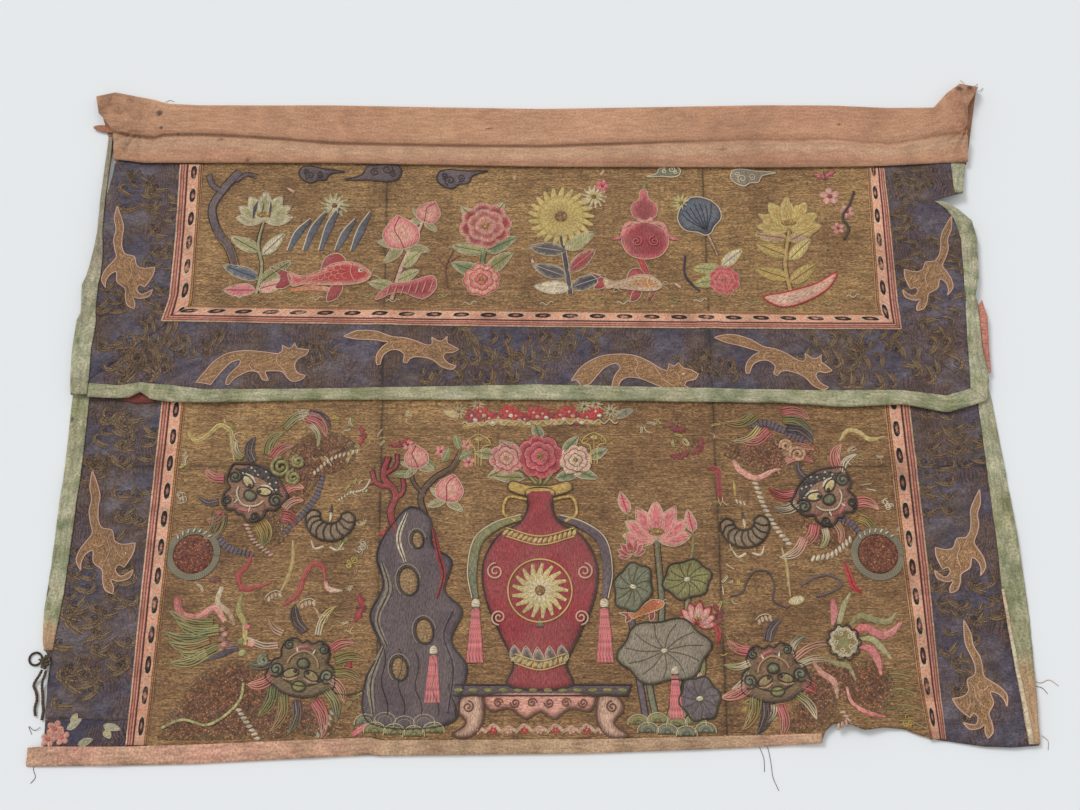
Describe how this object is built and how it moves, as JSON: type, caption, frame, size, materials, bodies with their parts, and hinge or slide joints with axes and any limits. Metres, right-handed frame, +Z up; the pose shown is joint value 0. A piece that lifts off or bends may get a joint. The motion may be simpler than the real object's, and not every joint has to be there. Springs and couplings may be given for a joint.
{
  "type": "altar cloth",
  "caption": "Embroidered altar frontal laid flat: cotton heading, short valance over a long panel, silk borders, woven braids, folded bindings and a small tie ring.",
  "frame": {"origin": "middle of the cloth's outline box, on the surface that the cloth lies on", "axes": "+X across the cloth, +Y from its lower edge towards its heading, +Z up through the face of the cloth"},
  "size_m": [1.046, 0.788, 0.0149],
  "materials": {
    "heading_cotton": "plain-woven faded peach cotton, matte, stained and creased",
    "tab_cotton": "darker pink-brown cotton, matte and worn",
    "couched_field": "old gold thread couched in close rows over silk, dull gleam, with silk embroidery",
    "border_silk": "faded slate violet silk, soft sheen, with couched gold thread embroidery",
    "patch_silk": "dark navy silk patch with a small floral pattern, soft sheen",
    "braid": "woven pink braid with dark oval bead pattern and rose and brown stripes",
    "binding_sage": "sage grey-green cotton binding, matte, worn at its edge",
    "binding_rose": "faded rose cotton binding, matte, tan along its middle",
    "lining_cream": "raw cream cotton lining edge, matte",
    "lining_red": "faded red cotton lining, matte",
    "ring_metal": "corroded dark metal wire ring, rough",
    "tie_cord": "dark olive twisted cotton cord, matte"
  },
  "bodies": {
    "root": {"heading": "heading_cotton", "heading_tab": "tab_cotton", "main_field": "couched_field", "valance_field": "couched_field", "main_border_left": "border_silk", "main_border_right": "border_silk", "valance_border_left": "border_silk", "valance_border_bottom": "border_silk", "valance_border_right": "border_silk", "corner_patch": "patch_silk", "main_braid_left": "braid", "main_braid_right": "braid", "valance_braid_left": "braid", "valance_braid_bottom": "braid", "valance_braid_right": "braid", "main_binding_left": "binding_sage", "main_binding_right": "binding_sage", "valance_binding_left": "binding_sage", "valance_binding_bottom": "binding_sage", "valance_binding_right": "binding_sage", "valance_binding_top_right": "binding_sage", "bottom_binding": "binding_rose", "lining_edge_right": "lining_cream", "valance_lining_left": "lining_red", "valance_lining_right": "lining_red", "tie_ring": "ring_metal", "tie_knot": "tie_cord", "tie_cord_a": "tie_cord", "tie_cord_b": "tie_cord"}
  },
  "joints": []
}
